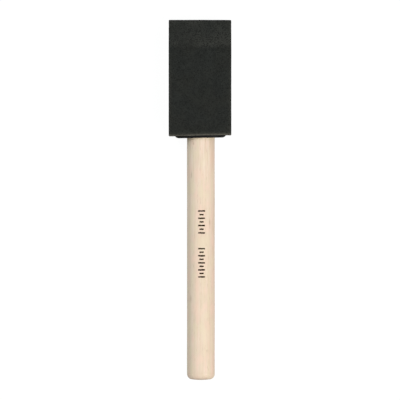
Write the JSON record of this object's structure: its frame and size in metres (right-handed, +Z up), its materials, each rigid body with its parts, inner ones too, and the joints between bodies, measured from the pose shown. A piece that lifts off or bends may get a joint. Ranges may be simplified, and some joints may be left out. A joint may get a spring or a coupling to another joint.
{
  "type": "foam brush",
  "caption": "Foam paint brush: a chisel-tipped foam head glued on a flanged plastic stiffener, whose socket holds a round wooden dowel handle with a rounded butt.",
  "frame": {"origin": "under the middle of the brush as it lies flat, in the plane of the foam's back face", "axes": "+X across the foam's width, +Y from the handle's butt to the foam's tip, +Z up through the foam's thickness"},
  "size_m": [0.0254, 0.148, 0.016],
  "materials": {
    "foam": "matte",
    "insert_plastic": "satin",
    "handle_wood": "matte",
    "adhesive": "satin",
    "ink": "matte"
  },
  "bodies": {
    "root": {"foam_head": "foam", "stiffener_insert": "insert_plastic", "handle": "handle_wood", "foam_glue": "adhesive", "handle_glue": "adhesive"}
  },
  "joints": []
}
